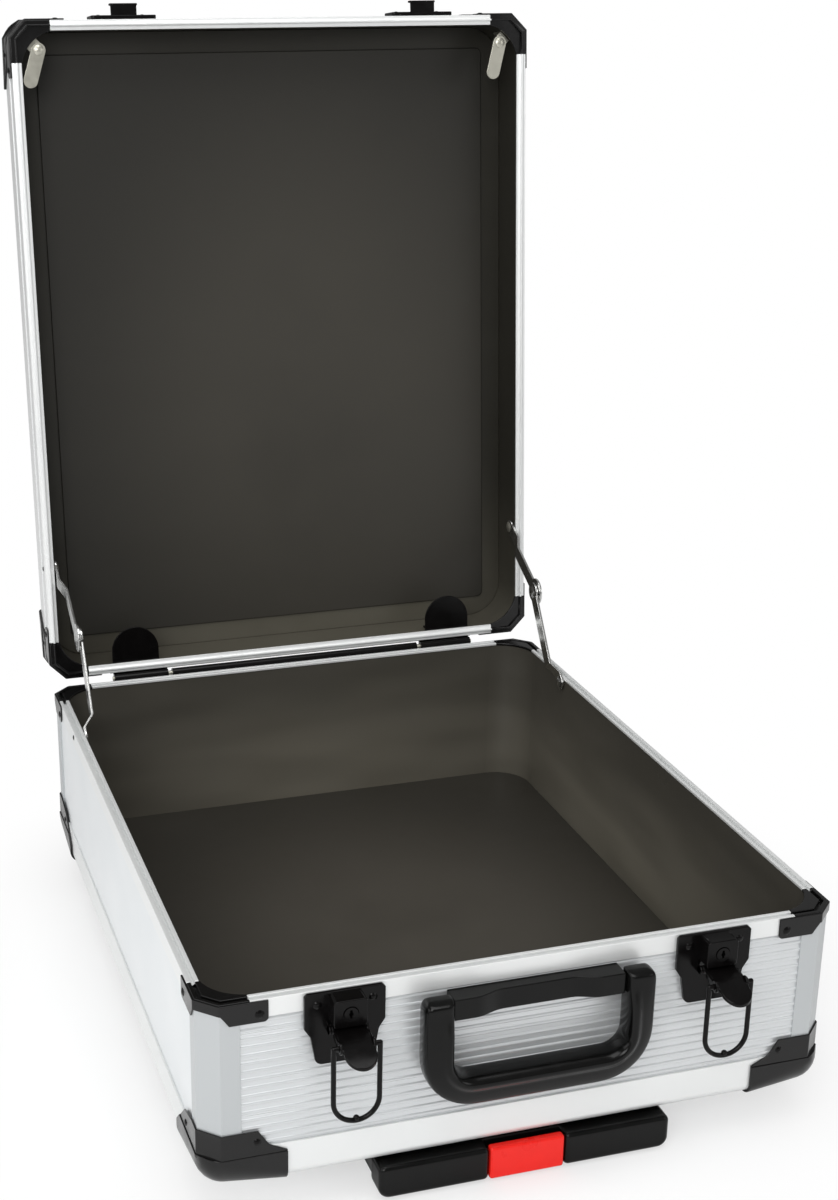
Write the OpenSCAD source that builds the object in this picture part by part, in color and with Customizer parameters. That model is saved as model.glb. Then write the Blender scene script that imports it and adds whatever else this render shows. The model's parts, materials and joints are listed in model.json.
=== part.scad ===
// Aluminium tool case on a pull-out trolley, lid open, lying on its bottom panel.
// Millimetres. X is across the case, Y runs to the hinge side, Z is up.
// The origin is the middle of the bottom panel's outer face.

/* [Case] */
// Width across the side panels
case_width = 340; // [320:5:420]
// Depth from the latch side to the hinge side
case_depth = 420; // [400:5:520]
// Height of the base from its lowest edge to the rim
base_height = 104; // [100:1:150]
// Height of the lid from its rim to its outer face
lid_height = 36.4; // [36:0.2:60]
// Leg of the chamfer down each upright corner
corner_chamfer = 10; // [8:0.5:12]
// Rounding along the outer edges
edge_radius = 6; // [5:0.5:8]
// Angle the lid is opened to
lid_open = 95.3; // [0:0.1:95.3]

/* [Panels and extrusions] */
// Thickness of the wall panels
panel_t = 3.6; // [3.5:0.1:3.7]
// Thickness of the bottom panel and the lid panel
floor_t = 2; // [1.6:0.1:3]
// Wall thickness of the extrusions
edge_t = 1.2; // [1:0.1:1.4]
// Thickness of the inner lining
lining_t = 1; // [0.8:0.1:1.2]
// Corner radius of the inner lining
lining_radius = 25; // [25:1:32]
// Reach of the edge extrusion along both its legs
edge_reach = 21; // [18:0.5:24]
// Reach of the upright corner extrusion each way
post_reach = 20; // [18:0.5:24]
// Width of the rim extrusion
rim_width = 6.2; // [6:0.1:7]
// Height of the rim extrusion's flanges
rim_drop = 10; // [9:0.5:11]
// Height of the rim's solid web
rim_web = 5; // [4:0.5:5.5]
// Thickness of the rim's inner lip, over the lining's edge
rim_lip = 1.6; // [1.4:0.1:2]
// Pitch of the front panel's ribs
rib_pitch = 4.6; // [4:0.1:8]
// Height of the front panel's ribs
rib_height = 0.7; // [0.4:0.1:0.9]

/* [Corner pieces] */
// Radius of the ball corner
ball_radius = 15; // [13:1:16]
// How far the ball corner stands proud
cap_proud = 1.6; // [1.4:0.1:1.8]
// Reach of the corner cap along the front
cap_front = 43.1; // [38:0.1:46]
// Reach of the corner cap along the side
cap_side = 51; // [44:0.5:56]
// Height of the corner cap's upright flap
cap_top = 29.8; // [28:0.1:34]
// Height of the ridge below the flap
cap_ridge = 15.8; // [14:0.1:17]
// Reach of the moulded rim corner
rim_corner_reach = 25; // [22:0.5:28]
// Reach of the rim corner's riveted flap
rim_flap_reach = 34; // [32:0.5:38]
// Thickness of the riveted flaps
flap_t = 1; // [0.8:0.1:1.2]

/* [Latches] */
// Distance of each latch from the middle
latch_x = 98.3; // [92:0.1:110]
// Width of the latch plate
latch_width = 41; // [36:0.5:46]
// Height of the latch plate
latch_height = 39.5; // [36:0.5:44]
// Thickness of the latch plate
latch_plate_t = 2.5; // [2:0.1:3]
// Side of the raised lock box
lock_box = 17; // [15:0.1:17]
// Radius of the lock plug
plug_r = 3.55; // [3:0.05:4]
// Distance from the lever's pivot to the bail's
bail_arm = 14.5; // [13.5:0.1:15.5]
// Radius of the bail's wire
wire_r = 1.3; // [1:0.05:1.4]
// Distance between the bail's legs
bail_gap = 23.2; // [23:0.1:25]
// Length of the bail from its pivot
bail_length = 41.4; // [38:0.1:44]
// Angle the open lever droops below level
lever_droop = 6; // [0:1:8]

/* [Carrying handle] */
// Width across the handle grip
handle_width = 122; // [116:1:132]
// Height of the handle grip's bar
handle_bar = 21; // [18:0.5:23]
// Distance from the handle's pivot to its lower edge
handle_drop = 49.7; // [46:0.1:54]
// Width across the mounting bar
handle_mount_width = 91; // [88:0.5:92]

/* [Trolley] */
// Distance of the tubes from the middle
tube_x = 62; // [56:1:66]
// Width of the outer tube
tube_w = 22; // [20:0.5:24]
// Height of the outer tube
tube_h = 15; // [13.5:0.5:16]
// Wall thickness of the tubes
tube_wall = 1.1; // [0.9:0.05:1.2]
// Half the width of the trolley grip
grip_half = 80; // [76:1:86]
// Height of the trolley grip
grip_height = 19; // [18:0.5:19.5]
// Width of the red button
button_width = 40.8; // [30:0.2:44]
// Radius of the tyres
wheel_r = 16; // [15:0.5:16]
// Width of the tyres
wheel_width = 18; // [14:0.5:18]
// Distance of the wheels from the middle
wheel_x = 107; // [105:0.5:109]
// Height of the case above the ground
ground_gap = 24; // [23:0.5:26]

/* [Lid stays] */
// Length of each arm between its pivots
stay_length = 65; // [64:0.5:68]
// Width of each arm
stay_width = 9; // [7:0.5:9]
// Thickness of each arm
stay_t = 1.6; // [1.2:0.1:1.6]
// How far both arms step inwards towards the knee
stay_step = 3.5; // [2:0.5:4]

/* [Hidden] */
$fn = 64;
// Fits: running clearance on a radius, and the gap between parts that move past each other
run_fit = 0.05;
gap = 0.3;

half_w = case_width / 2;
half_d = case_depth / 2;
z_low = -edge_t;
rim_z = base_height - edge_t;
lid_rim = lid_height - edge_t;
panel_in = edge_t + panel_t;
lining_in = panel_in + lining_t;
edge_top = z_low + edge_reach;
// Reach along the front, reach along the side and ridge height of the lid's corner cap
lid_cap = [36, 40, 11];
// Edge extrusions and panel feet stop this far short of each corner, under the caps
base_setback = [cap_front - 10, cap_side - 15];
lid_setback = [lid_cap.x - 8, lid_cap.y - 10];
// Height of the rim corner's band round the chamfer
rim_band = 6;
post_web = corner_chamfer + 3;
// Groove of the base rim and tongue of the lid rim, as depths from the outer face
groove = [2.1, 4.1, 2.4];
tongue = [2.5, 3.7, 2.0];

hinge_back = 4;
hinge_y = half_d + hinge_back;
barrel_r = 3;
pin_r = 1.5;
hinge_half = 130;
knuckle_mid = 88;
knuckle_side = [91, 128];

// Latch pivot, measured from the front face and the rim
lever_y = -half_d - 6.5;
lever_z = rim_z - 18.8;
lever_root = 8.5;
lever_reach = 28.7;
tongue_half = 8;
tongue_bow = 60;
pin_in = tongue_half - 0.4;
plate_y = -half_d - latch_plate_t;
box_front = -half_d - 11.5;
box_z = rim_z - 15.8;
plug_z = rim_z - 8.4;
lug_y = lever_y - bail_arm * cos(lever_droop);
lug_z = lever_z - bail_arm * sin(lever_droop);
hook_z = lever_z - bail_arm + bail_length - bail_gap / 2;

handle_y = -half_d - 7;
handle_z = rim_z - 16.3;
handle_eye = 6.7;
handle_pin = 3;
// Depth of the mounting bar at its ends and in its middle, and the radius of the grip's corners
mount_end = 11;
mount_mid = 7;
grip_corner = 28;

tube_z = -12.2;
tube_step = tube_wall + gap;
grip_front = -half_d - 4;
grip_back = grip_front + 16;
grip_z = -3.2;
bracket_front = -half_d + 14;
// Width to each side, reach along the case, and underside of the front bracket
bracket_half = tube_x + 23;
bracket_reach = 60;
bracket_lip = 6;
sleeve_low = tube_z - tube_h / 2 - 1.8;
sleeve_length = 32;
rear_half = tube_x + 20;
rear_reach = 22;
tube_end = half_d - 50;
wheel_y = half_d + 13.5;
wheel_z = wheel_r - ground_gap;
axle_r = 3;

// Stay pivots in the side view, as [y, z]
stay_base = [half_d - 78, rim_z - 4];
stay_lid_closed = [half_d - 74.6, rim_z + 6.9];
stay_lid = [
  hinge_y + (stay_lid_closed.x - hinge_y) * cos(lid_open) + (stay_lid_closed.y - rim_z) * sin(lid_open),
  rim_z - (stay_lid_closed.x - hinge_y) * sin(lid_open) + (stay_lid_closed.y - rim_z) * cos(lid_open)
];
stay_span = norm(stay_lid - stay_base);
stay_mid = (stay_lid + stay_base) / 2;
stay_rise = sqrt(stay_length * stay_length - stay_span * stay_span / 4);
stay_knee = stay_mid + stay_rise / stay_span
          * [-(stay_lid.y - stay_base.y), stay_lid.x - stay_base.x];
stay_lower_angle = atan2(stay_knee.y - stay_base.y, stay_knee.x - stay_base.x);
stay_upper_angle = atan2(stay_knee.y - stay_lid.y, stay_knee.x - stay_lid.x);
// Depths of the stay's two planes, from the outer side face
stay_outer = rim_width + gap;
stay_upper_in = rim_width + 0.8;
stay_upper_far = stay_upper_in + stay_step;
stay_lower_far = stay_upper_far + stay_t + gap;
stay_pin_r = 2;

// Stations along each arm between which it steps inwards
stay_lower_bend = [5.5, 13];
stay_upper_bend = [15, 25];
knee_r = 9;

retainer_x = 112;
retainer_r = 16;
retainer_reach = 24;
foot_half = 14;
sheet_t = 1.2;
clip_pos = [half_w - 17.4, half_d - 17.5];
clip_r = 4.5;
clip_reach = 19;

aluminium = "#dfe2e3";
white_panel = "#e9ebec";
black = "#232221";
lining_colour = "#45413a";
steel = "#b9b7aa";
bright = "#c8c9cb";
red = "#ee2a22";
rubber = "#1b1b1b";

// Placing

module at_corners() {
  for (sx = [0, 1], sy = [0, 1])
    translate([(2 * sx - 1) * half_w, (2 * sy - 1) * half_d, 0])
      mirror([sx, 0, 0]) mirror([0, sy, 0]) children();
}

module both_sides() {
  children();
  mirror([1, 0, 0]) children();
}

// Carries a shape drawn with the lid closed to the open lid
module lid_swing() {
  translate([0, hinge_y, rim_z]) rotate([-lid_open, 0, 0]) translate([0, -hinge_y, -rim_z]) children();
}

// Carries a tray drawn with its panel down to the lid
module lid_tray() {
  lid_swing() translate([0, 0, rim_z + gap + lid_rim]) mirror([0, 0, 1]) children();
}

// Draws a section, given as depth and height, along the front and the side walls
module along_walls(front_end, side_end) {
  for (s = [0, 1]) {
    mirror([0, s, 0]) translate([-half_w + front_end, -half_d, 0]) rotate([90, 0, 90])
      linear_extrude(case_width - 2 * front_end) children();
    mirror([s, 0, 0]) translate([-half_w, half_d - side_end, 0]) rotate([90, 0, 0])
      linear_extrude(case_depth - 2 * side_end) children();
  }
}

// Shared outlines

// Where the chamfer starts on a face moved inwards by t
function bend(t) = corner_chamfer + t * (sqrt(2) - 1);

// A wall running round one corner between two depths, drawn from the virtual corner
module corner_wall(t0, t1, reach) {
  polygon([
    [reach, t0], [bend(t0), t0], [t0, bend(t0)], [t0, reach],
    [t1, reach], [t1, bend(t1)], [bend(t1), t1], [reach, t1]
  ]);
}

// The plan of a rounded rectangle at a depth from the outer faces
module rounded_plan(depth, radius) {
  w = half_w - depth;
  d = half_d - depth;
  square([2 * (w - radius), 2 * d], center = true);
  square([2 * w, 2 * (d - radius)], center = true);
  for (x = [-1, 1], y = [-1, 1])
    translate([x * (w - radius), y * (d - radius)]) circle(radius);
}

// The plan of a rectangle with its corners cut off
module cut_plan(depth, cut) {
  w = half_w - depth;
  d = half_d - depth;
  polygon([
    [-w + cut, -d], [w - cut, -d], [w, -d + cut], [w, d - cut],
    [w - cut, d], [-w + cut, d], [-w, d - cut], [-w, -d + cut]
  ]);
}

// A flat bar with a round eye at each end, along X from the origin
module link_outline(length, width, eye_r, far_r) {
  translate([0, -width / 2]) square([length, width]);
  circle(eye_r);
  translate([length, 0]) circle(far_r);
}

module rounded_square(size, radius) {
  translate([radius, 0]) square([size.x - 2 * radius, size.y]);
  translate([0, radius]) square([size.x, size.y - 2 * radius]);
  for (x = [radius, size.x - radius], y = [radius, size.y - radius])
    translate([x, y]) circle(radius);
}

// Domed rivet head on the plane z = 0
module rivet_head(radius, height) {
  ball = (radius * radius + height * height) / (2 * height);
  intersection() {
    cylinder(r = radius, h = height);
    translate([0, 0, height - ball]) sphere(ball);
  }
}

module rivet_front(x, y, z, radius = 2.2) {
  translate([x, y, z]) rotate([90, 0, 0]) rivet_head(radius, 0.9);
}

// Tray parts, drawn with the panel down

// Section of the edge extrusion, as depth and height
module edge_section() {
  difference() {
    union() {
      translate([edge_radius, z_low]) square([edge_reach - 1 - edge_radius, edge_t]);
      translate([0, z_low + edge_radius]) square([edge_t, edge_reach - edge_radius]);
      intersection() {
        translate([edge_radius, z_low + edge_radius]) circle(edge_radius);
        translate([0, z_low]) square(edge_radius);
      }
    }
    translate([edge_radius, z_low + edge_radius]) circle(edge_radius - edge_t);
  }
}

module tray_edges(setback) {
  along_walls(setback.x, setback.y) edge_section();
}

module tray_posts(rim) {
  at_corners() {
    translate([0, 0, edge_top]) linear_extrude(rim - rim_band - edge_top) {
      corner_wall(0, edge_t, post_reach);
      corner_wall(0, panel_in, post_web);
    }
    translate([0, 0, edge_top]) linear_extrude(rim - rim_web - 0.2 - edge_top)
      corner_wall(edge_t, panel_in, post_web);
  }
}

// One wall panel of a given length, inner face towards +Y, foot corners cut for the caps
module wall_panel(length, rim, setback, ridge) {
  foot = z_low + edge_radius;
  top = rim - rim_web - 0.2;
  difference() {
    translate([-length / 2 + post_web, edge_t, foot]) cube([length - 2 * post_web, panel_t, top - foot]);
    for (s = [0, 1]) mirror([s, 0, 0])
      translate([-length / 2, 0, foot - 1]) cube([setback, panel_in + 1, ridge - foot + 1.2]);
  }
}

module side_wall(rim, setback, ridge) {
  translate([-half_w, 0, 0]) rotate([0, 0, -90]) wall_panel(case_depth, rim, setback.y, ridge);
}

module front_wall(rim, setback, ridge) {
  translate([0, -half_d, 0]) wall_panel(case_width, rim, setback.x, ridge);
}

module wall_ribs(rim) {
  count = floor((rim - rim_drop - edge_top - 2) / rib_pitch);
  for (i = [0 : count])
    translate([-half_w + post_reach, -half_d + edge_t + 0.5, edge_top + 2 + i * rib_pitch])
      rotate([0, 90, 0]) cylinder(r = rib_height + 0.5, h = case_width - 2 * post_reach, $fn = 24);
}

module tray_floor() {
  linear_extrude(floor_t) cut_plan(edge_radius, 28);
}

module tray_lining(rim) {
  translate([0, 0, floor_t]) linear_extrude(rim - rim_lip - gap - floor_t) difference() {
    rounded_plan(panel_in, lining_radius);
    rounded_plan(lining_in, lining_radius - lining_t);
  }
}

// Outer flange, web and inner lip of the rim, without its top detail
module rim_section(rim) {
  translate([0, rim - rim_lip]) square([rim_width, rim_lip]);
  translate([0, rim - rim_web]) square([panel_in - 0.2, rim_web]);
  translate([0, rim - rim_drop]) square([edge_t, rim_drop]);
}

module groove_section(rim) {
  difference() {
    rim_section(rim);
    translate([groove[0], rim - groove[2]]) square([groove[1] - groove[0], groove[2] + 1]);
  }
}

module tongue_section(rim) {
  rim_section(rim);
  translate([tongue[0], rim - 0.5]) square([tongue[1] - tongue[0], tongue[2] + 0.5]);
}

// Outline of a rim corner's flap along the wall, from its foot up
module flap_outline() {
  top = rim_drop + 1.5;
  polygon([
    [corner_chamfer + 0.2, top], [corner_chamfer + 0.2, rim_drop + 2 - rim_band],
    [corner_chamfer + 4.5, 0], [rim_flap_reach - 2.5, 0], [rim_flap_reach, 2.5], [rim_flap_reach, top]
  ]);
  translate([rim_flap_reach - 2.5, 2.5]) circle(2.5);
}

// A moulded rim corner: a band round the chamfer, a riveted flap on each wall, and a top plate
// that reaches in over the lining's round corner; the caller cuts or adds the top detail
module rim_corner_body(rim) {
  lip_r = lining_radius - rim_width + panel_in;
  translate([0, 0, rim - rim_web]) linear_extrude(rim_web)
    corner_wall(0, panel_in - 0.2, rim_corner_reach);
  translate([0, 0, rim - rim_lip]) linear_extrude(rim_lip) difference() {
    polygon([
      [corner_chamfer, 0], [rim_corner_reach, 0], [rim_corner_reach, rim_corner_reach],
      [0, rim_corner_reach], [0, corner_chamfer]
    ]);
    translate([rim_width + lip_r, rim_width + lip_r]) circle(lip_r);
  }
  translate([0, 0, rim - rim_band]) linear_extrude(rim_band - 0.5)
    corner_wall(-flap_t, edge_t, rim_corner_reach);
  for (s = [0, 1]) mirror([s, -s, 0])
    translate([0, 0, rim - rim_drop - 2]) rotate([90, 0, 0]) linear_extrude(flap_t) flap_outline();
}

// Everything of the case that a corner cap has to stay clear of
module cap_inside(setback) {
  far = 80;
  translate([setback.x, 0, 0]) rotate([90, 0, 90]) linear_extrude(far) edge_outline(far);
  translate([0, setback.y + far, 0]) rotate([90, 0, 0]) linear_extrude(far) edge_outline(far);
  translate([0, 0, edge_top]) linear_extrude(far)
    polygon([[corner_chamfer, 0], [far, 0], [far, far], [0, far], [0, corner_chamfer]]);
  translate([0, 0, floor_t]) linear_extrude(far) {
    translate([panel_in + lining_radius, panel_in]) square(far);
    translate([panel_in, panel_in + lining_radius]) square(far);
    translate([panel_in + lining_radius, panel_in + lining_radius]) circle(lining_radius + gap);
  }
  linear_extrude(far)
    polygon([
      [edge_radius + 28, edge_radius], [far, edge_radius], [far, far],
      [edge_radius, far], [edge_radius, edge_radius + 28]
    ]);
}

module edge_outline(far) {
  translate([edge_radius, z_low]) square(far);
  translate([0, z_low + edge_radius]) square(far);
  translate([edge_radius, z_low + edge_radius]) circle(edge_radius);
}

// Ball corner with a ridge, and an upright flap above it
module corner_cap(front, side, ridge, top, setback) {
  low = z_low - cap_proud;
  end_r = edge_radius + cap_proud;
  slope = top - ridge;
  difference() {
    intersection() {
      union() {
        intersection() {
          hull() {
            translate([ball_radius - cap_proud, ball_radius - cap_proud, low + ball_radius])
              sphere(ball_radius, $fn = 32);
            translate([0, 0, ridge - 1]) linear_extrude(1) corner_wall(-cap_proud, 2, 24);
            translate([front - 1, edge_radius, z_low + edge_radius]) rotate([0, 90, 0])
              cylinder(r = end_r, h = 1, $fn = 32);
            translate([edge_radius, side - 1, z_low + edge_radius]) rotate([-90, 0, 0])
              cylinder(r = end_r, h = 1, $fn = 32);
            translate([front - 1, -cap_proud, ridge - 1]) cube([1, 2, 1]);
            translate([-cap_proud, side - 1, ridge - 1]) cube([2, 1, 1]);
          }
          translate([-5, -5, low - 1]) cube([side + 10, side + 10, ridge - low + 1]);
        }
        translate([0, 0, ridge - 1]) linear_extrude(top - ridge + 1) corner_wall(-flap_t, 0, side);
      }
      union() {
        // Flap on the front face
        translate([0, edge_radius + 6, 0]) rotate([90, 0, 0]) linear_extrude(30)
          polygon([
            [-5, low - 1], [-5, top], [front - 15, top],
            [front - 9.3, ridge + slope * 0.38], [front, ridge + 0.6], [front, low - 1]
          ]);
        // Flap on the side face
        translate([-12, 0, 0]) rotate([90, 0, 90]) linear_extrude(edge_radius + 18)
          polygon([
            [-5, low - 1], [-5, top], [side - 33, top],
            [side - 17, ridge + slope * 0.69], [side, ridge - 6.4], [side, low - 1]
          ]);
        translate([-5, -5, low - 1]) cube([front + 5, side + 5, 1 - low]);
      }
    }
    cap_inside(setback);
  }
}

module cap_rivets(front, side, ridge, top) {
  rise = ridge + 0.5 * (top - ridge);
  translate([front - 15.5, -flap_t, rise + 1]) rotate([90, 0, 0]) rivet_head(2, 0.8);
  translate([-flap_t, side - 20.3, rise - 3]) rotate([0, -90, 0]) rivet_head(2, 0.8);
}

module rim_corner_rivets(rim) {
  translate([rim_corner_reach + 4.5, -flap_t, rim - 7.5]) rotate([90, 0, 0]) rivet_head(2.4, 0.8);
  translate([-flap_t, rim_corner_reach + 4.5, rim - 7.5]) rotate([0, -90, 0]) rivet_head(2.4, 0.8);
}

// Base

module bottom_panel() {
  color(white_panel) tray_floor();
}

module front_panel() {
  color(aluminium) {
    front_wall(rim_z, base_setback, cap_ridge);
    wall_ribs(rim_z);
  }
}

module back_panel() {
  color(white_panel) mirror([0, 1, 0]) front_wall(rim_z, base_setback, cap_ridge);
}

module left_panel() {
  color(white_panel) side_wall(rim_z, base_setback, cap_ridge);
}

module right_panel() {
  color(white_panel) mirror([1, 0, 0]) side_wall(rim_z, base_setback, cap_ridge);
}

module base_edge_profiles() {
  color(aluminium) tray_edges(base_setback);
}

module base_corner_posts() {
  color(aluminium) tray_posts(rim_z);
}

module base_rim() {
  color(aluminium) along_walls(rim_corner_reach, rim_corner_reach) groove_section(rim_z);
}

module base_rim_corners() {
  color(black) at_corners() difference() {
    rim_corner_body(rim_z);
    translate([0, 0, rim_z - groove[2]]) linear_extrude(groove[2] + 1)
      corner_wall(groove[0], groove[1], rim_corner_reach + 1);
  }
}

module base_corner_caps() {
  color(black) at_corners() corner_cap(cap_front, cap_side, cap_ridge, cap_top, base_setback);
}

module base_wall_lining() {
  color(lining_colour) tray_lining(rim_z);
}

module floor_lining() {
  color(lining_colour) translate([0, 0, floor_t]) linear_extrude(lining_t - 0.2)
    rounded_plan(lining_in, lining_radius - lining_t);
}

module base_rivets() {
  color(black) {
    at_corners() {
      cap_rivets(cap_front, cap_side, cap_ridge, cap_top);
      rim_corner_rivets(rim_z);
    }
    both_sides() {
      for (dx = [-14, 14]) rivet_front(latch_x + dx, plate_y, rim_z - 6.6);
      for (x = [40, 110]) translate([x, half_d + edge_t, rim_z - 12]) rotate([-90, 0, 0])
        rivet_head(2.2, 0.9);
      stay_rivet(stay_base, stay_outer);
    }
  }
}

// Shouldered rivet of a stay, on the lining's face, and its end on the outer face
module stay_rivet(pos, arm_in) {
  head_in = arm_in + stay_t + gap;
  translate([half_w - lining_in, pos.x, pos.y]) rotate([0, -90, 0]) {
    cylinder(r = stay_pin_r, h = head_in - lining_in);
    translate([0, 0, head_in - lining_in]) rivet_head(3.8, 1.2);
  }
  translate([half_w, pos.x, pos.y]) rotate([0, 90, 0]) rivet_head(1.8, 0.6);
}

// Latch plate with its lock box and the cheeks that hold the lever
module latch_plate() {
  half = latch_width / 2;
  foot = rim_z - 0.5 - latch_height;
  difference() {
    union() {
      translate([latch_x, -half_d, 0]) rotate([90, 0, 0]) linear_extrude(latch_plate_t) {
        polygon([
          [-half + 1.5, rim_z - 0.5], [half - 1.5, rim_z - 0.5], [half, rim_z - 2],
          [half, rim_z - 19.5], [half - 3.2, rim_z - 24.5], [half - 5.2, foot + 4],
          [-half + 5.2, foot + 4], [-half + 3.2, rim_z - 24.5], [-half, rim_z - 19.5], [-half, rim_z - 2]
        ]);
        translate([-half + 9.2, foot]) square([latch_width - 18.4, 5]);
        for (dx = [-1, 1]) translate([dx * (half - 9.2), foot + 4]) circle(4);
      }
      translate([latch_x, plate_y + 0.5, 0]) rotate([90, 0, 0])
        linear_extrude(plate_y + 0.5 - box_front)
          translate([-lock_box / 2, box_z]) rounded_square([lock_box, rim_z - 1 - box_z], 2);
      for (s = [-1, 1])
        translate([latch_x + s * 9.35 - 0.55, lever_y, lever_z]) rotate([90, 0, 90]) linear_extrude(1.1) {
          circle(2.2);
          translate([0, -2.2]) square([plate_y - lever_y + 0.5, 4.4]);
        }
    }
    translate([latch_x, box_front - 1, plug_z]) rotate([-90, 0, 0])
      cylinder(r = plug_r + run_fit, h = 8);
    translate([latch_x - 15, lever_y, lever_z]) rotate([0, 90, 0])
      cylinder(r = pin_r + run_fit, h = 30);
  }
}

module left_latch_plate() {
  color(black) mirror([1, 0, 0]) latch_plate();
}

module right_latch_plate() {
  color(black) latch_plate();
}

module lock_plug() {
  translate([latch_x, box_front - 0.4, plug_z]) rotate([-90, 0, 0]) difference() {
    cylinder(r = plug_r, h = 7);
    translate([-0.6, -2.2, -1]) cube([1.2, 4.4, 4]);
    translate([0, 0, -1]) cylinder(r = 1.1, h = 4);
  }
}

module left_lock_plug() {
  color(black) mirror([1, 0, 0]) lock_plug();
}

module right_lock_plug() {
  color(black) lock_plug();
}

// Thumb lever, open: a bowed tongue that points outwards and droops, with a cheek for each bail end
module latch_lever() {
  translate([latch_x, lever_y, lever_z]) rotate([lever_droop, 0, 0]) difference() {
    union() {
      rotate([0, 90, 0]) translate([0, 0, -lever_root]) cylinder(r = 2.2, h = 2 * lever_root);
      rotate([0, 90, 0]) translate([0, 0, -9.8]) cylinder(r = pin_r, h = 19.6);
      intersection() {
        translate([0, 0, -15]) linear_extrude(20) {
          translate([-tongue_half, -lever_reach + tongue_half])
            square([2 * tongue_half, lever_reach - tongue_half]);
          translate([0, -lever_reach + tongue_half]) circle(tongue_half);
        }
        translate([-10, -6, 2.2 - tongue_bow]) rotate([0, 90, 0]) difference() {
          cylinder(r = tongue_bow, h = 20);
          translate([0, 0, -1]) cylinder(r = tongue_bow - 1.8, h = 22);
        }
      }
      for (s = [0, 1]) mirror([s, 0, 0])
        translate([pin_in, 0, 0]) rotate([90, 0, 90]) linear_extrude(1.4) {
          translate([-bail_arm, 0]) circle(3.2);
          polygon([[-5, 1.9], [-bail_arm, 1.4], [-bail_arm, -3.1], [-5, -0.6]]);
        }
    }
    for (s = [0, 1]) mirror([s, 0, 0])
      translate([pin_in - 0.1, -bail_arm, 0]) rotate([0, 90, 0])
        cylinder(r = wire_r + run_fit, h = 4);
  }
}

module left_lever() {
  color(black) mirror([1, 0, 0]) latch_lever();
}

module right_lever() {
  color(black) latch_lever();
}

// Wire bail, hanging from the lever
module latch_bail() {
  half = bail_gap / 2;
  bow_z = -bail_length + half;
  translate([latch_x, lug_y, lug_z]) {
    for (s = [0, 1]) mirror([s, 0, 0]) {
      translate([half, 0, bow_z]) cylinder(r = wire_r, h = -bow_z, $fn = 32);
      translate([half, 0, 0]) sphere(wire_r, $fn = 32);
      translate([pin_in, 0, 0]) rotate([0, 90, 0]) cylinder(r = wire_r, h = half - pin_in, $fn = 32);
    }
    translate([0, 0, bow_z]) rotate([90, 0, 0]) rotate([0, 0, 180])
      rotate_extrude(angle = 180) translate([half, 0]) circle(wire_r, $fn = 32);
    translate([0, 0, -bail_length + wire_r]) sphere(1.6, $fn = 32);
  }
}

module left_bail() {
  color(black) mirror([1, 0, 0]) latch_bail();
}

module right_bail() {
  color(black) latch_bail();
}

// Depth of the mounting bar at x: it waves back from its ends to a thinner middle
function mount_depth(x) =
  mount_mid + (mount_end - mount_mid) * (1 - cos(180 * min(1, max(0, (abs(x) - 18) / 16)))) / 2;

// Mounting bar of the carrying handle, with the pins the grip swings on
module handle_mount() {
  half = handle_mount_width / 2;
  color(black) {
    translate([0, -half_d, rim_z - 22.4]) linear_extrude(11.6) polygon(concat(
      [[half, -mount_end], [half, 0.45], [-half, 0.45], [-half, -mount_end]],
      [for (x = [-34 : 2 : 34]) [x, -mount_depth(x)]]
    ));
    both_sides() translate([half - 10, handle_y, handle_z]) rotate([0, 90, 0])
      cylinder(r = handle_pin, h = 19);
  }
}

// Swinging grip of the carrying handle, hanging down
module handle_grip() {
  half = handle_width / 2;
  inner = handle_mount_width / 2 + 0.5;
  back = -half_d - 3;
  bar_top = -handle_drop + handle_bar;
  color(black) translate([0, 0, handle_z]) difference() {
    union() {
      translate([0, back, 0]) rotate([90, 0, 0]) linear_extrude(8) difference() {
        union() {
          translate([-half, -handle_drop + grip_corner]) square([2 * half, handle_drop - grip_corner + 2]);
          translate([-half + grip_corner, -handle_drop])
            square([2 * (half - grip_corner), grip_corner + 8]);
          for (s = [-1, 1]) translate([s * (half - grip_corner), -handle_drop + grip_corner])
            circle(grip_corner);
          for (s = [-1, 1]) translate([s * (half - 4.7), 2]) circle(4.7);
          for (s = [-1, 1]) translate([s * (inner + 4) - 4, 0]) square([8, 6.5]);
        }
        translate([-inner, bar_top + 10]) square([2 * inner, 60]);
        translate([-inner + 10, bar_top]) square([2 * inner - 20, 20]);
        for (s = [-1, 1]) translate([s * (inner - 10), bar_top + 10]) circle(10);
      }
      // Raised ridge round the hand opening
      translate([0, back - 7, 0]) rotate([90, 0, 0]) linear_extrude(3.5) difference() {
        union() {
          translate([-inner - 9, bar_top + 5]) square([2 * inner + 18, -bar_top - 9]);
          translate([-inner + 6, bar_top - 13]) square([2 * inner - 12, 20]);
          for (s = [-1, 1]) translate([s * (inner - 9), bar_top + 5]) circle(18);
        }
        translate([-inner, bar_top + 10]) square([2 * inner, 60]);
        translate([-inner + 10, bar_top]) square([2 * inner - 20, 20]);
        for (s = [-1, 1]) translate([s * (inner - 10), bar_top + 10]) circle(10);
      }
    }
    translate([-half, handle_y, 0]) rotate([0, 90, 0]) translate([0, 0, half - inner - 9.4])
      cylinder(r = handle_pin + run_fit, h = 2 * (inner + 9.4));
    // Room above the pivot, so the eyes turn clear of the case
    translate([-half - 1, handle_y, 0]) rotate([0, 90, 0]) difference() {
      translate([-20, -20, 0]) cube([20, 40, handle_width + 2]);
      translate([0, 0, -1]) cylinder(r = handle_eye, h = handle_width + 4);
    }
  }
}

// Lid

module lid_panel() {
  color(white_panel) lid_tray() tray_floor();
}

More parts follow.
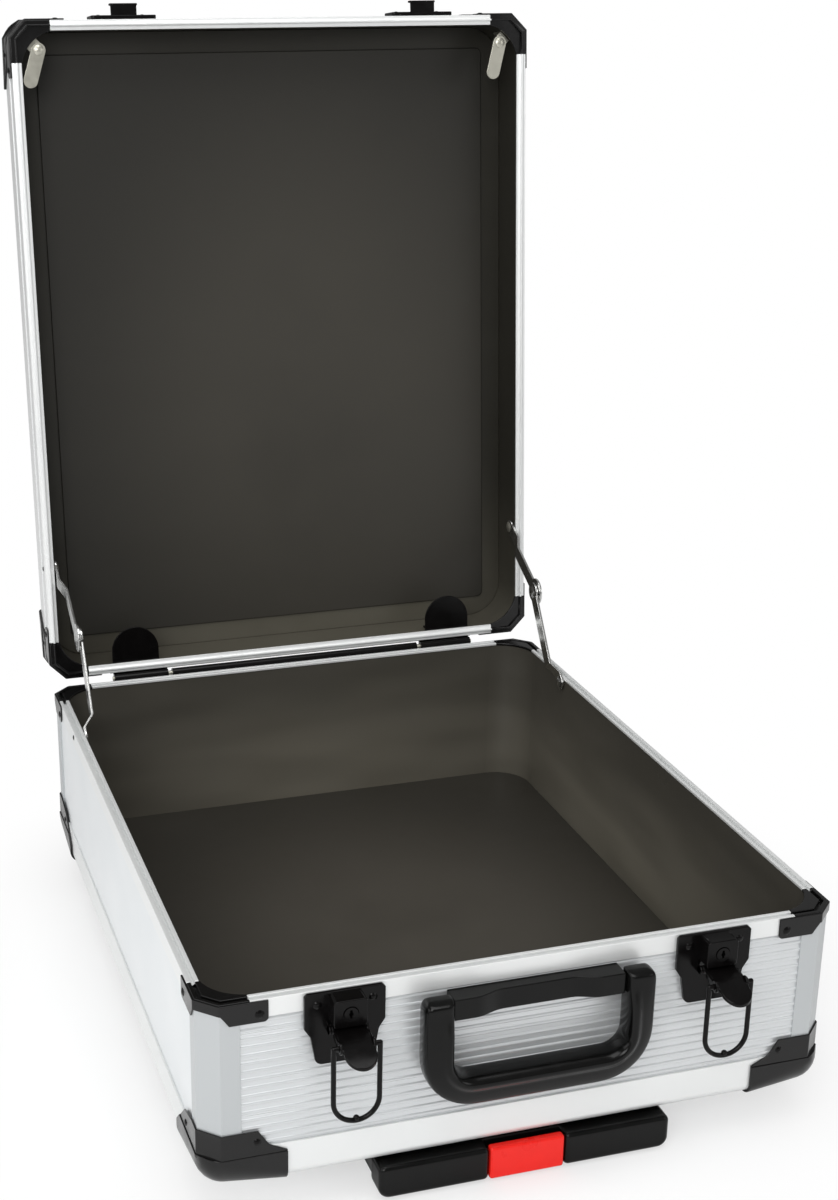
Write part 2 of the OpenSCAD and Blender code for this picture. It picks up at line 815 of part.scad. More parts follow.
module lid_wall_panels() {
  color(white_panel) lid_tray() {
    front_wall(lid_rim, lid_setback, lid_cap.z);
    mirror([0, 1, 0]) front_wall(lid_rim, lid_setback, lid_cap.z);
    side_wall(lid_rim, lid_setback, lid_cap.z);
    mirror([1, 0, 0]) side_wall(lid_rim, lid_setback, lid_cap.z);
  }
}

module lid_edge_profiles() {
  color(aluminium) lid_tray() tray_edges(lid_setback);
}

module lid_corner_posts() {
  color(aluminium) lid_tray() tray_posts(lid_rim);
}

module lid_rim_profiles() {
  color(aluminium) lid_tray() along_walls(rim_corner_reach, rim_corner_reach) tongue_section(lid_rim);
}

module lid_rim_corners() {
  color(black) lid_tray() at_corners() {
    rim_corner_body(lid_rim);
    translate([0, 0, lid_rim - 0.5]) linear_extrude(tongue[2] + 0.5)
      corner_wall(tongue[0], tongue[1], rim_corner_reach);
  }
}

module lid_corner_caps() {
  color(black) lid_tray() at_corners()
    corner_cap(lid_cap.x, lid_cap.y, lid_cap.z, lid_rim - rim_drop - 2.4, lid_setback);
}

module lid_wall_lining() {
  color(lining_colour) lid_tray() tray_lining(lid_rim);
}

// Lining of the lid's panel, with the raised board in its middle
module lid_panel_lining() {
  color(lining_colour) lid_tray() {
    translate([0, 0, floor_t]) linear_extrude(0.8) rounded_plan(lining_in, lining_radius - lining_t);
    translate([-half_w + 19.5, -half_d + 19.5, floor_t + 0.5]) linear_extrude(1.5)
      rounded_square([case_width - 39, case_depth - 39], 4);
  }
}

module lid_rivets() {
  color(black) {
    lid_tray() {
      at_corners() {
        cap_rivets(lid_cap.x, lid_cap.y, lid_cap.z, lid_rim - rim_drop - 2.4);
        rim_corner_rivets(lid_rim);
      }
      both_sides() {
        // Board retainers
        for (dx = [-9, 9])
          translate([retainer_x + dx, half_d - lining_in - sheet_t, lid_rim - 9]) rotate([90, 0, 0])
            rivet_head(2, 0.8);
        // Turn clips: shank through the clip, head above it
        translate([clip_pos.x, -clip_pos.y, lid_rim - 4]) {
          cylinder(r = stay_pin_r, h = 2);
          translate([0, 0, 2]) rivet_head(3.2, 0.9);
        }
      }
    }
    lid_swing() both_sides() {
      stay_rivet(stay_lid_closed, stay_upper_in);
      for (x = [40, 110]) translate([x, half_d + edge_t, rim_z + 12]) rotate([-90, 0, 0])
        rivet_head(2.2, 0.9);
      for (dx = [-14, 14]) rivet_front(latch_x + dx, plate_y, rim_z + 14);
    }
  }
}

// Catch that the bail pulls on, with a notch for the bail's knob
module latch_catch() {
  translate([latch_x, 0, 0]) difference() {
    union() {
      translate([0, -half_d, 0]) rotate([90, 0, 0]) linear_extrude(latch_plate_t) {
        translate([-latch_width / 2, rim_z + 1.2]) rounded_square([latch_width, 18], 2);
      }
      translate([0, plate_y + 0.5, 0]) rotate([90, 0, 0]) linear_extrude(6.6)
        hook_outline(bail_gap / 2 - wire_r - gap, 8.2);
      translate([0, plate_y - 5.6, 0]) rotate([90, 0, 0]) linear_extrude(1.4)
        hook_outline(bail_gap / 2 + 0.8, 8.8);
    }
    translate([-2.4, plate_y - 5.6, hook_z + 7]) cube([4.8, 5.6, 10]);
  }
}

module hook_outline(radius, half) {
  intersection() {
    translate([0, hook_z]) circle(radius);
    translate([-half, rim_z + 2]) square([2 * half, 40]);
  }
}

module latch_catches() {
  color(black) lid_swing() both_sides() latch_catch();
}

// D-shaped tab that holds the tool board's edge, on a riveted foot
module board_retainer() {
  flat = retainer_reach - retainer_r;
  lid_tray() translate([retainer_x, half_d - lining_in, 0]) {
    translate([0, 0, lid_rim - 3.4]) linear_extrude(sheet_t) difference() {
      union() {
        translate([-retainer_r, -flat]) square([2 * retainer_r, flat]);
        translate([0, -flat]) circle(retainer_r);
      }
      translate([-retainer_r, 0]) square([2 * retainer_r, retainer_r]);
    }
    translate([-foot_half, -sheet_t, lid_rim - 13]) cube([2 * foot_half, sheet_t, 10.8]);
  }
}

module board_retainers() {
  color(black) both_sides() board_retainer();
}

// Brackets in the lid's far corners, on the lining's round corner, that carry the turn clips
module clip_brackets() {
  half = 4.2;
  round_in = lining_radius - lining_t;
  wall = (panel_in + lining_radius) * sqrt(2) - sqrt(round_in * round_in - half * half) + 0.1;
  eye = (half_w - clip_pos.x + half_d - clip_pos.y) / sqrt(2);
  color(steel) lid_tray() both_sides()
    translate([half_w, -half_d, 0]) rotate([0, 0, 135]) {
      translate([wall, -half, lid_rim - 16]) cube([sheet_t, 2 * half, 12]);
      translate([0, 0, lid_rim - 4 - sheet_t]) linear_extrude(sheet_t) {
        translate([wall, -half]) square([eye - wall, 2 * half]);
        translate([eye, 0]) circle(half);
      }
    }
}

// Turn clip, lying above its bracket; the angle is its lean from the lid's long side
module turn_clip(lean) {
  lid_tray() translate([clip_pos.x, -clip_pos.y, lid_rim - 3.7]) rotate([0, 0, 90 + lean])
    linear_extrude(1.4) difference() {
      link_outline(clip_reach, 2 * clip_r, clip_r, clip_r);
      circle(stay_pin_r + run_fit);
    }
}

module left_clip() {
  color(steel) mirror([1, 0, 0]) turn_clip(-18);
}

module right_clip() {
  color(steel) turn_clip(14);
}

// Hinge

module knuckle(x0, x1, bore) {
  translate([x0, hinge_y, rim_z]) rotate([0, 90, 0]) difference() {
    cylinder(r = barrel_r, h = x1 - x0);
    translate([0, 0, -1]) cylinder(r = bore, h = x1 - x0 + 2);
  }
}

// Plate on the wall and a web under the barrel, between two stations
module leaf_web(x0, x1, bore) {
  difference() {
    translate([x0, half_d, rim_z - barrel_r]) cube([x1 - x0, hinge_back, 1.4]);
    translate([x0 - 1, hinge_y, rim_z]) rotate([0, 90, 0]) cylinder(r = bore, h = x1 - x0 + 2);
  }
  translate([x0, half_d, rim_z - barrel_r - 1.5]) cube([x1 - x0, edge_t, barrel_r]);
}

module leaf_plate() {
  translate([-hinge_half, half_d, rim_z - 19]) cube([2 * hinge_half, edge_t, 19 - barrel_r - 0.6]);
}

module hinge_base_leaf() {
  color(black) {
    leaf_plate();
    leaf_web(-knuckle_mid, knuckle_mid, pin_r + run_fit);
    knuckle(-knuckle_mid, knuckle_mid, pin_r + run_fit);
  }
}

module hinge_lid_leaf() {
  color(black) lid_swing() {
    translate([0, 0, 2 * rim_z]) mirror([0, 0, 1]) {
      leaf_plate();
      both_sides() leaf_web(knuckle_side[0], knuckle_side[1], pin_r);
    }
    both_sides() knuckle(knuckle_side[0], knuckle_side[1], pin_r);
  }
}

module hinge_pin() {
  color(steel) translate([-knuckle_side[1] - 1, hinge_y, rim_z]) rotate([0, 90, 0])
    cylinder(r = pin_r, h = 2 * knuckle_side[1] + 2);
}

// Stays

// Turns a shape in the XY plane to the stay's side view, X along the arm, from the outer face
module stay_plane(pos, angle) {
  translate([half_w, pos.x, pos.y]) rotate([angle, 0, 0]) rotate([90, 0, 90]) children();
}

// An arm that steps inwards between two stations, with a bored eye at its pivot
module cranked_arm(bend, near_in, far_in, far_r) {
  difference() {
    intersection() {
      rotate([90, 0, 0]) translate([0, 0, -20]) linear_extrude(40) polygon([
        [-20, -near_in - stay_t], [bend[0], -near_in - stay_t], [bend[1], -far_in - stay_t],
        [stay_length + 20, -far_in - stay_t], [stay_length + 20, -far_in], [bend[1], -far_in],
        [bend[0], -near_in], [-20, -near_in]
      ]);
      translate([0, 0, -30]) linear_extrude(30) link_outline(stay_length, stay_width, 5, far_r);
    }
    translate([0, 0, -30]) cylinder(r = stay_pin_r + run_fit, h = 40);
  }
}

module stay_lower() {
  stay_plane(stay_base, stay_lower_angle) {
    cranked_arm(stay_lower_bend, stay_outer, stay_lower_far, 6.5);
    // Head of the knee rivet
    translate([stay_length, 0, -stay_lower_far - stay_t]) mirror([0, 0, 1]) rivet_head(4.5, 1.5);
  }
}

module stay_upper() {
  stay_plane(stay_lid, stay_upper_angle)
    cranked_arm(stay_upper_bend, stay_upper_in, stay_upper_far, knee_r);
}

module left_stay_lower() {
  color(bright) mirror([1, 0, 0]) stay_lower();
}

module right_stay_lower() {
  color(bright) stay_lower();
}

module left_stay_upper() {
  color(bright) mirror([1, 0, 0]) stay_upper();
}

module right_stay_upper() {
  color(bright) stay_upper();
}

// Trolley

// A rectangular tube along Y between two stations, n steps inside the outer tube
module tube(n, y0, y1) {
  w = tube_w - 2 * n * tube_step;
  h = tube_h - 2 * n * tube_step;
  both_sides() translate([tube_x, y1, tube_z]) rotate([90, 0, 0]) linear_extrude(y1 - y0) difference() {
    translate([-w / 2, -h / 2]) rounded_square([w, h], 2);
    translate([-w / 2 + tube_wall, -h / 2 + tube_wall])
      rounded_square([w - 2 * tube_wall, h - 2 * tube_wall], 1);
  }
}

module tube_bulk(y0, y1) {
  both_sides() translate([tube_x, y1, tube_z]) rotate([90, 0, 0]) linear_extrude(y1 - y0)
    translate([-tube_w / 2, -tube_h / 2]) rounded_square([tube_w, tube_h], 2);
}

module trolley_outer_tubes() {
  color(aluminium) tube(0, bracket_front + 0.5, tube_end);
}

module trolley_middle_tubes() {
  color(aluminium) tube(1, bracket_front, tube_end - 6);
}

module trolley_inner_tubes() {
  color(aluminium) tube(2, grip_back - 6, tube_end - 12);
}

// Bracket that holds the tubes under the front edge, with the feet the case lies on
module trolley_front_bracket() {
  color(black) difference() {
    union() {
      translate([-bracket_half, -half_d + bracket_lip, z_low - 1.7])
        cube([2 * bracket_half, bracket_reach - bracket_lip, 1.7]);
      translate([-bracket_half, -half_d + edge_reach, z_low - 1])
        cube([2 * bracket_half, bracket_reach - edge_reach, 1 - z_low]);
      both_sides() {
        translate([tube_x - tube_w / 2 - 4, bracket_front, sleeve_low])
          cube([tube_w + 8, sleeve_length, z_low - sleeve_low]);
        translate([tube_x, bracket_front + sleeve_length / 2, -ground_gap])
          cylinder(r = 9, h = ground_gap + sleeve_low + 1);
      }
    }
    tube_bulk(bracket_front - 1, bracket_front + sleeve_length + 8);
  }
}

module trolley_rear_bracket() {
  color(black) difference() {
    translate([-rear_half, tube_end - rear_reach + 6, sleeve_low])
      cube([2 * rear_half, rear_reach, -sleeve_low]);
    tube_bulk(tube_end - rear_reach, tube_end);
  }
}

// Pull-out grip, with a slot for the button
module trolley_grip() {
  half_slot = button_width / 2 + 0.4;
  color(black) difference() {
    translate([0, grip_back, 0]) rotate([90, 0, 0]) linear_extrude(grip_back - grip_front) {
      translate([-grip_half, grip_z - grip_height + 6]) square([2 * grip_half, grip_height - 9.5]);
      translate([-grip_half + 6, grip_z - grip_height]) square([2 * grip_half - 12, 8]);
      translate([-grip_half + 3.5, grip_z - 5]) square([2 * grip_half - 7, 5]);
      for (s = [-1, 1]) {
        translate([s * (grip_half - 6), grip_z - grip_height + 6]) circle(6);
        translate([s * (grip_half - 3.5), grip_z - 3.5]) circle(3.5);
      }
    }
    translate([-half_slot, grip_front - 1, grip_z - grip_height - 1])
      cube([2 * half_slot, 11, grip_height + 2]);
    for (x = [-12, 12]) translate([x, grip_front, grip_z - grip_height / 2]) rotate([-90, 0, 0])
      cylinder(r = stay_pin_r + run_fit, h = 20);
    both_sides() translate([tube_x, grip_back + 1, tube_z]) rotate([90, 0, 0])
      linear_extrude(7) translate([-tube_w / 2 + 2 * tube_step, -tube_h / 2 + 2 * tube_step])
        rounded_square([tube_w - 4 * tube_step, tube_h - 4 * tube_step], 2);
  }
}

module release_button() {
  color(red) {
    translate([0, grip_front + 5.4, 0]) rotate([90, 0, 0]) linear_extrude(5.4)
      translate([-button_width / 2, grip_z - grip_height + 0.2])
        rounded_square([button_width, grip_height - 0.4], 1.5);
    for (x = [-12, 12]) translate([x, grip_front + 5, grip_z - grip_height / 2]) rotate([-90, 0, 0])
      cylinder(r = stay_pin_r, h = 6.6);
  }
}

// Wheel bracket round the lower rear edge: two cheeks and two mounting plates
module wheel_housing() {
  wide = wheel_width + 4;
  cheek_t = 3;
  difference() {
    translate([wheel_x, 0, 0]) {
      for (s = [0, 1]) mirror([s, 0, 0])
        translate([wide / 2, 0, 0]) rotate([90, 0, 90]) linear_extrude(cheek_t) {
          polygon([
            [half_d - 45, z_low], [half_d - 45, -6], [half_d - 10, wheel_z - 9], [wheel_y, wheel_z - 9],
            [wheel_y + 8.6, wheel_z + 3], [half_d + 3, 38], [half_d, 38], [half_d, z_low]
          ]);
          translate([wheel_y, wheel_z]) circle(9);
        }
      translate([-wide / 2 - cheek_t, half_d, 12]) cube([wide + 2 * cheek_t, 2, 26]);
      translate([-wide / 2 - cheek_t, half_d - 45, z_low - 2]) cube([wide + 2 * cheek_t, 36, 2]);
      translate([-wide / 2 - cheek_t, half_d - 45, z_low - 1])
        cube([wide + 2 * cheek_t, 45 - edge_reach, 1 - z_low]);
    }
    translate([wheel_x - 30, wheel_y, wheel_z]) rotate([0, 90, 0]) cylinder(r = axle_r, h = 60);
  }
}

module wheel_housings() {
  color(black) both_sides() wheel_housing();
}

module wheel_axles() {
  half = wheel_width / 2 + 6;
  color(steel) both_sides() translate([wheel_x - half, wheel_y, wheel_z]) rotate([0, 90, 0])
    cylinder(r = axle_r, h = 2 * half);
}

module wheel_hub() {
  translate([wheel_x - wheel_width / 2, wheel_y, wheel_z]) rotate([0, 90, 0]) difference() {
    union() {
      translate([0, 0, 1.5]) cylinder(r = wheel_r - 5, h = wheel_width - 3);
      translate([0, 0, -1.6]) cylinder(r = 5, h = wheel_width + 3.2);
    }
    translate([0, 0, -3]) cylinder(r = axle_r + run_fit, h = wheel_width + 6);
    for (a = [0 : 60 : 300]) rotate([0, 0, a]) translate([7.9, 0, -1]) cylinder(r = 1.6, h = 5);
    for (a = [0 : 60 : 300]) rotate([0, 0, a]) translate([7.9, 0, wheel_width - 4]) cylinder(r = 1.6, h = 5);
  }
}

module wheel_tyre() {
  translate([wheel_x - wheel_width / 2, wheel_y, wheel_z]) rotate([0, 90, 0]) rotate_extrude($fn = 96)
    polygon([
      [wheel_r - 5, 0], [wheel_r - 1.5, 0], [wheel_r, 1.8], [wheel_r, wheel_width - 1.8],
      [wheel_r - 1.5, wheel_width], [wheel_r - 5, wheel_width]
    ]);
}

module left_wheel_hub() {
  color(steel) mirror([1, 0, 0]) wheel_hub();
}

module right_wheel_hub() {
  color(steel) wheel_hub();
}

module left_tyre() {
  color(rubber) mirror([1, 0, 0]) wheel_tyre();
}

module right_tyre() {
  color(rubber) wheel_tyre();
}

// Feet the case stands on when it is wheeled upright, as tall as the wheels reach
module standing_feet() {
  tall = wheel_y + wheel_r - half_d;
  color(black) both_sides() translate([half_w - 31, half_d - edge_t, rim_z - 31]) rotate([-90, 0, 0]) {
    cylinder(r = 9, h = edge_t + 3);
    cylinder(r1 = 8, r2 = 6.5, h = tall + edge_t);
  }
}

bottom_panel();
front_panel();
back_panel();
left_panel();
right_panel();
base_edge_profiles();
base_corner_posts();
base_rim();
base_rim_corners();
base_corner_caps();
base_wall_lining();
floor_lining();
base_rivets();
left_latch_plate();
right_latch_plate();
left_lock_plug();
right_lock_plug();
left_lever();
right_lever();
left_bail();
right_bail();
handle_mount();
handle_grip();
lid_panel();
lid_wall_panels();
lid_edge_profiles();
lid_corner_posts();
lid_rim_profiles();
lid_rim_corners();
lid_corner_caps();
lid_wall_lining();
lid_panel_lining();
lid_rivets();
latch_catches();
board_retainers();
clip_brackets();
left_clip();
right_clip();
hinge_base_leaf();
hinge_lid_leaf();
hinge_pin();
left_stay_lower();
right_stay_lower();
left_stay_upper();
right_stay_upper();
trolley_outer_tubes();
trolley_middle_tubes();
trolley_inner_tubes();
trolley_front_bracket();
trolley_rear_bracket();
trolley_grip();
release_button();
wheel_housings();
wheel_axles();
left_wheel_hub();
right_wheel_hub();
left_tyre();
right_tyre();
standing_feet();
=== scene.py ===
# %% [markdown]
# An aluminium tool case stands open on a pale floor. Its solids come packed from the drawing, already
# in metres and in place. They could be modelled a second time here, but the drawing has the sizes right,
# so this lesson dresses them: each metal, plastic and lining gets its finish, moulded and pressed pieces
# get rounded edges, the carrying grip gets its real form, and then come the camera and the light.

# %% Load the solids
import json
import math

import bmesh
import bpy
from mathutils import Matrix, Vector
from mathutils.bvhtree import BVHTree


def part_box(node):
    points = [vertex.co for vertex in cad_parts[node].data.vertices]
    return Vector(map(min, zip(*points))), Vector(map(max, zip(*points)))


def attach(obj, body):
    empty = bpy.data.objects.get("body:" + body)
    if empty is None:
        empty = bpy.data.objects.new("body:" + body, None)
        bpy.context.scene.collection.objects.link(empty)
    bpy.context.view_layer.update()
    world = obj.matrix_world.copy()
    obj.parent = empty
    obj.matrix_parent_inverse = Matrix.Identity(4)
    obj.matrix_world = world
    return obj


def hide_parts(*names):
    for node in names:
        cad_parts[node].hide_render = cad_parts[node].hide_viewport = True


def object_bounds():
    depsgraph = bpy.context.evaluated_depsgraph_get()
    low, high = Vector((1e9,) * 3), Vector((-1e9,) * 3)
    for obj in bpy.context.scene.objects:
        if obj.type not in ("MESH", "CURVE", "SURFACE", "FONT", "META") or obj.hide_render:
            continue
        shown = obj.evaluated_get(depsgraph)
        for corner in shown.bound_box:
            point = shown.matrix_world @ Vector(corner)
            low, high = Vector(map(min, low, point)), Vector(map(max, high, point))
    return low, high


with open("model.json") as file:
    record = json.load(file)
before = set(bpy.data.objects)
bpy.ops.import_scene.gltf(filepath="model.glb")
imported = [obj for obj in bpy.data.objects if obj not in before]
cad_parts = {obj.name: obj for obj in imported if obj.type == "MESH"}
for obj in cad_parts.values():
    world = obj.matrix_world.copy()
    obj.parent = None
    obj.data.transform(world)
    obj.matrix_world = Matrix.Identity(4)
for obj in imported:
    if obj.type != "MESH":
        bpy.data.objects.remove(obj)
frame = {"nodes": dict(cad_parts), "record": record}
cad_low, cad_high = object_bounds()
nodes = frame["nodes"]
print("solids:", len(nodes), "box:", [round(v, 4) for v in cad_low], [round(v, 4) for v in cad_high])

# %% [markdown]
# The camera stands where the photographer stood. It could be placed by eye, but the straight edges of
# the case run to three vanishing points. These give the aim, the lens and the shift, and the corners
# then give the place. The lens points left of the picture's middle and a little below it, so the sensor
# is shifted by as much.

# %% Camera
PHOTO_PX = (838, 1200)
AIM_PX = (320, 640)
FOCAL_PX = 1895.9
SENSOR_MM = 36
STANDPOINT = Vector((-0.3384, -0.9658, 0.5784))
RIGHT = Vector((0.95762, -0.28802, 0.00147)).normalized()
AHEAD = Vector((0.2701, 0.89624, -0.35186)).normalized()
UP = RIGHT.cross(AHEAD).normalized()
camera_data = bpy.data.cameras.new("case_camera")
camera_data.sensor_width = SENSOR_MM
camera_data.lens = SENSOR_MM * FOCAL_PX / PHOTO_PX[1]
camera_data.shift_x = (PHOTO_PX[0] / 2 - AIM_PX[0]) / PHOTO_PX[1]
camera_data.shift_y = (AIM_PX[1] - PHOTO_PX[1] / 2) / PHOTO_PX[1]
camera_data.clip_start, camera_data.clip_end = 0.05, 20
camera = bpy.data.objects.new("case_camera", camera_data)
camera.matrix_world = Matrix((
    (RIGHT.x, UP.x, -AHEAD.x, STANDPOINT.x),
    (RIGHT.y, UP.y, -AHEAD.y, STANDPOINT.y),
    (RIGHT.z, UP.z, -AHEAD.z, STANDPOINT.z),
    (0, 0, 0, 1),
))
bpy.context.scene.collection.objects.link(camera)
bpy.context.scene.camera = camera
bpy.context.scene.view_settings.view_transform = "Standard"
print("lens", round(camera_data.lens, 2), "mm")

# %% [markdown]
# Every finish is a small web of shader nodes. Each node could be placed and linked line by line, but
# that soon fills pages. So one function adds a node with all its sockets filled, and another turns the
# colours, which are written as the eye knows them, into the linear light that shaders use.

# %% Adding nodes
MM = 0.001


def linear(hex_colour):
    """A colour written as #rrggbb, as the linear values that a shader takes."""
    parts = [int(hex_colour[i:i + 2], 16) / 255 for i in (1, 3, 5)]
    return [p / 12.92 if p <= 0.04045 else ((p + 0.055) / 1.055) ** 2.4 for p in parts] + [1.0]


def fill(tree, node, **values):
    """Fills sockets with constants or links; a name has _ for each space, and i0 is the first socket."""
    for key, value in values.items():
        by_place = key[0] == "i" and key[1:].isdigit()
        socket = node.inputs[int(key[1:]) if by_place else key.replace("_", " ")]
        if isinstance(value, bpy.types.NodeSocket):
            tree.links.new(value, socket)
        else:
            socket.default_value = value
    return node


def add(tree, kind, settings=None, **values):
    """Adds one node with its settings and its filled sockets."""
    node = tree.nodes.new(kind)
    for key, value in (settings or {}).items():
        setattr(node, key, value)
    return fill(tree, node, **values)


print("black and white as light:", linear("#000000")[:3], linear("#ffffff")[:3])

# %% [markdown]
# No real surface has one flat colour or one even shine. Both could come from photographs of the metal,
# but noise needs no file and has no seams. Four short functions say what all the finishes have in
# common: a soft noise, a colour that drifts between two, a roughness that drifts, and a fine bump.

# %% Helpers for finishes
finishes = {}


def start_finish(name):
    """A new material: its tree, its shader and the place of each point on the piece."""
    finish = bpy.data.materials.new(name)
    finish.use_nodes = True
    finishes[name] = finish
    tree = finish.node_tree
    return tree, tree.nodes["Principled BSDF"], add(tree, "ShaderNodeTexCoord").outputs["Object"]


def noise(tree, place, size_mm, detail, **values):
    """Noise whose patches are about size_mm across."""
    return add(tree, "ShaderNodeTexNoise", Vector=place, Scale=1 / (size_mm * MM), Detail=detail,
               **values).outputs[0]


def blend(tree, share, first, second):
    """A colour between two others, which are written as #rrggbb or come from a socket."""
    ends = [linear(end) if isinstance(end, str) else end for end in (first, second)]
    mix = add(tree, "ShaderNodeMix", {"data_type": "RGBA"}, Factor=share, A=ends[0], B=ends[1])
    return mix.outputs["Result"]


def spread(tree, value, low, high):
    """Noise keeps near its middle, so the middle of its range is stretched over low to high."""
    return add(tree, "ShaderNodeMapRange", Value=value, From_Min=0.3, From_Max=0.7,
               To_Min=low, To_Max=high).outputs[0]


def bump(tree, height, strength, depth_mm, **values):
    """A bump that follows the height."""
    return add(tree, "ShaderNodeBump", Height=height, Strength=strength, Distance=depth_mm * MM,
               **values).outputs[0]


# %% [markdown]
# The edge strips are extruded aluminium with a satin anodised skin. Drawing the metal through its die
# leaves faint lines along its length. Real grooves would need millions of faces, so the lines are noise
# that is stretched along one axis: it varies the roughness in long thin streaks, and the metal reflects
# the bright room softly rather than as a mirror.

# %% Anodised aluminium
STREAK_LENGTH_MM = 60


def anodised(name, colours, rough, streak_axis, streak_mm=1.1):
    """Drawn aluminium whose streaks run along one axis and are streak_mm wide."""
    tree, shader, where = start_finish(name)
    scale = [1 / (streak_mm * MM)] * 3
    scale[streak_axis] = 1 / (STREAK_LENGTH_MM * MM)
    lines = add(tree, "ShaderNodeMapping", Vector=where, Scale=scale).outputs[0]
    streaks = add(tree, "ShaderNodeTexNoise", Vector=lines, Scale=1.0, Detail=2.0).outputs[0]
    fill(
        tree, shader, Metallic=0.4,
        Base_Color=blend(tree, noise(tree, where, size_mm=90, detail=2.0), *colours),
        Roughness=spread(tree, streaks, rough - 0.03, rough + 0.04),
        Normal=bump(tree, streaks, strength=0.05, depth_mm=0.05),
    )


STRIP_COLOURS = ("#e4e6e6", "#eeefee")
for axis, way in enumerate(("across", "along", "upright")):
    anodised("anodised_aluminium_" + way, STRIP_COLOURS, rough=0.36, streak_axis=axis)
# The corner posts are the strips' aluminium in darker colours: painted shade
anodised("anodised_corner_post", ("#b4b8ba", "#c4c7c8"), rough=0.34, streak_axis=2)
anodised("ribbed_aluminium_sheet", ("#cfd2d4", "#dcdedf"), rough=0.3, streak_axis=0, streak_mm=0.8)
print("aluminium finishes:", len(finishes))

# %% [markdown]
# The flat walls are a board faced with thin aluminium foil under a clear coat. It looks almost white
# and quite smooth, with a slight waviness where the foil follows the board. The mesh could be bent to
# show that, but a shallow bump does the same and leaves the panel true.

# %% Foil-faced board
tree, shader, where = start_finish("foil_faced_board")
wave = noise(tree, where, size_mm=45, detail=1.5)
fleck = noise(tree, where, size_mm=0.7, detail=2.0)
fill(
    tree, shader, Metallic=0.2,
    Base_Color=blend(tree, wave, "#e0e4e6", "#eceeef"),
    Roughness=spread(tree, fleck, low=0.34, high=0.42),
    Normal=bump(tree, wave, strength=0.15, depth_mm=0.4),
)
print("foil finish nodes:", len(tree.nodes))

# %% [markdown]
# The inside is lined with a dark board that has a thin film on its face. It is a warm grey-brown with
# a low sheen, cloudy in large soft patches, and with the fine grain of the fibre under the film. The
# film isn't quite flat: it is drawn in long shallow waves. Towards its borders each board is painted
# darker, as painted shade where the walls and corners shade it, and on the base's walls towards the top.
# That could be painted on each board, but an oval that fades outward does it for every board with a few
# numbers.

# %% Lining board
FAR = 1e6
CLOUD_MM = 70
GRAIN_MM = 0.9
FILM_WAVE_MM = (140, 140, 45)


def painted_shade_share(tree, where, cloud, middle_mm, reach_mm):
    """Painted shade: 0 inside the oval with this middle and these half sizes, near 1 past it."""
    oval = add(tree, "ShaderNodeMapping", Vector=where, Scale=[1 / (r * MM) for r in reach_mm],
               Location=[-m / r for m, r in zip(middle_mm, reach_mm)])
    away = add(tree, "ShaderNodeVectorMath", {"operation": "LENGTH"}, i0=oval.outputs[0])
    uneven = add(tree, "ShaderNodeMath", {"operation": "MULTIPLY_ADD"}, i0=cloud, i1=0.3,
                 i2=away.outputs["Value"])
    return add(tree, "ShaderNodeMapRange", {"interpolation_type": "SMOOTHSTEP"}, Value=uneven.outputs[0],
               From_Min=0.45, From_Max=1.25, To_Max=0.85).outputs[0]


def lining(name, dark, light, shade_colour, rough, shine, middle_mm, reach_mm, wave_mm):
    """Film-faced board, cloudy between dark and light inside its oval, with painted shade outside it."""
    tree, shader, where = start_finish(name)
    cloud = noise(tree, where, CLOUD_MM, detail=4.0, Roughness=0.6)
    grain = noise(tree, where, GRAIN_MM, detail=3.0)
    # Painted shade: the board turns darker towards its borders
    edge = painted_shade_share(tree, where, cloud, middle_mm, reach_mm)
    drawn = add(tree, "ShaderNodeMapping", Vector=where, Scale=[1 / (w * MM) for w in FILM_WAVE_MM])
    waves = add(tree, "ShaderNodeTexNoise", Vector=drawn.outputs[0], Scale=1.0, Detail=1.0).outputs[0]
    sway = bump(tree, waves, strength=0.8, depth_mm=wave_mm)
    fill(
        tree, shader, Specular_IOR_Level=shine,
        Base_Color=blend(tree, edge, blend(tree, cloud, dark, light), shade_colour),
        Roughness=spread(tree, cloud, rough - 0.05, rough + 0.07),
        Normal=bump(tree, grain, strength=0.2, depth_mm=0.08, Normal=sway),
    )


# The same board gets lighter colours on the base's walls and darker ones on the lid's board, as painted light
# and shade; the third colour of each is its painted shade at the borders
lining("film_faced_wall_lining", "#5c584e", "#726e63", "#393732", rough=0.32, shine=0.5,
       middle_mm=(30, 20, 4), reach_mm=(300, 380, 96), wave_mm=8)
lining("film_faced_floor_lining", "#3c3933", "#48443d", "#26241f", rough=0.5, shine=0.4,
       middle_mm=(10, -20, 0), reach_mm=(165, 215, FAR), wave_mm=1)
lining("film_faced_lid_lining", "#312f2a", "#3c3932", "#1c1b17", rough=0.5, shine=0.32,
       middle_mm=(30, 0, 255), reach_mm=(185, FAR, 265), wave_mm=1)
lining("film_faced_lid_wall_lining", "#4b483f", "#59564c", "#161511", rough=0.42, shine=0.3,
       middle_mm=(20, 0, 95), reach_mm=(200, FAR, 150), wave_mm=3)
print("linings:", [name for name in finishes if name.endswith("lining")])

# %% [markdown]
# The corners, the handles and the brackets are moulded in a black plastic. Its mould was spark eroded,
# which leaves a fine even grain. A plain black would look like a hole in the picture, so the grain is a
# bump that breaks the highlights up: the black turns slightly grey where light skims across it. The
# grips have less of it, because their moulds are polished where a hand goes.

# %% Moulded plastic and rubber
def moulded(name, dark, light, rough, grain_mm, strength, shine):
    """Plastic or rubber with a grain of this size and strength."""
    tree, shader, where = start_finish(name)
    cloud = noise(tree, where, size_mm=12, detail=3.0)
    grain = noise(tree, where, grain_mm, detail=3.0)
    fill(
        tree, shader, IOR=1.5, Specular_IOR_Level=shine,
        Base_Color=blend(tree, cloud, dark, light),
        Roughness=spread(tree, cloud, rough - 0.06, rough + 0.06),
        Normal=bump(tree, grain, strength, depth_mm=0.06),
    )


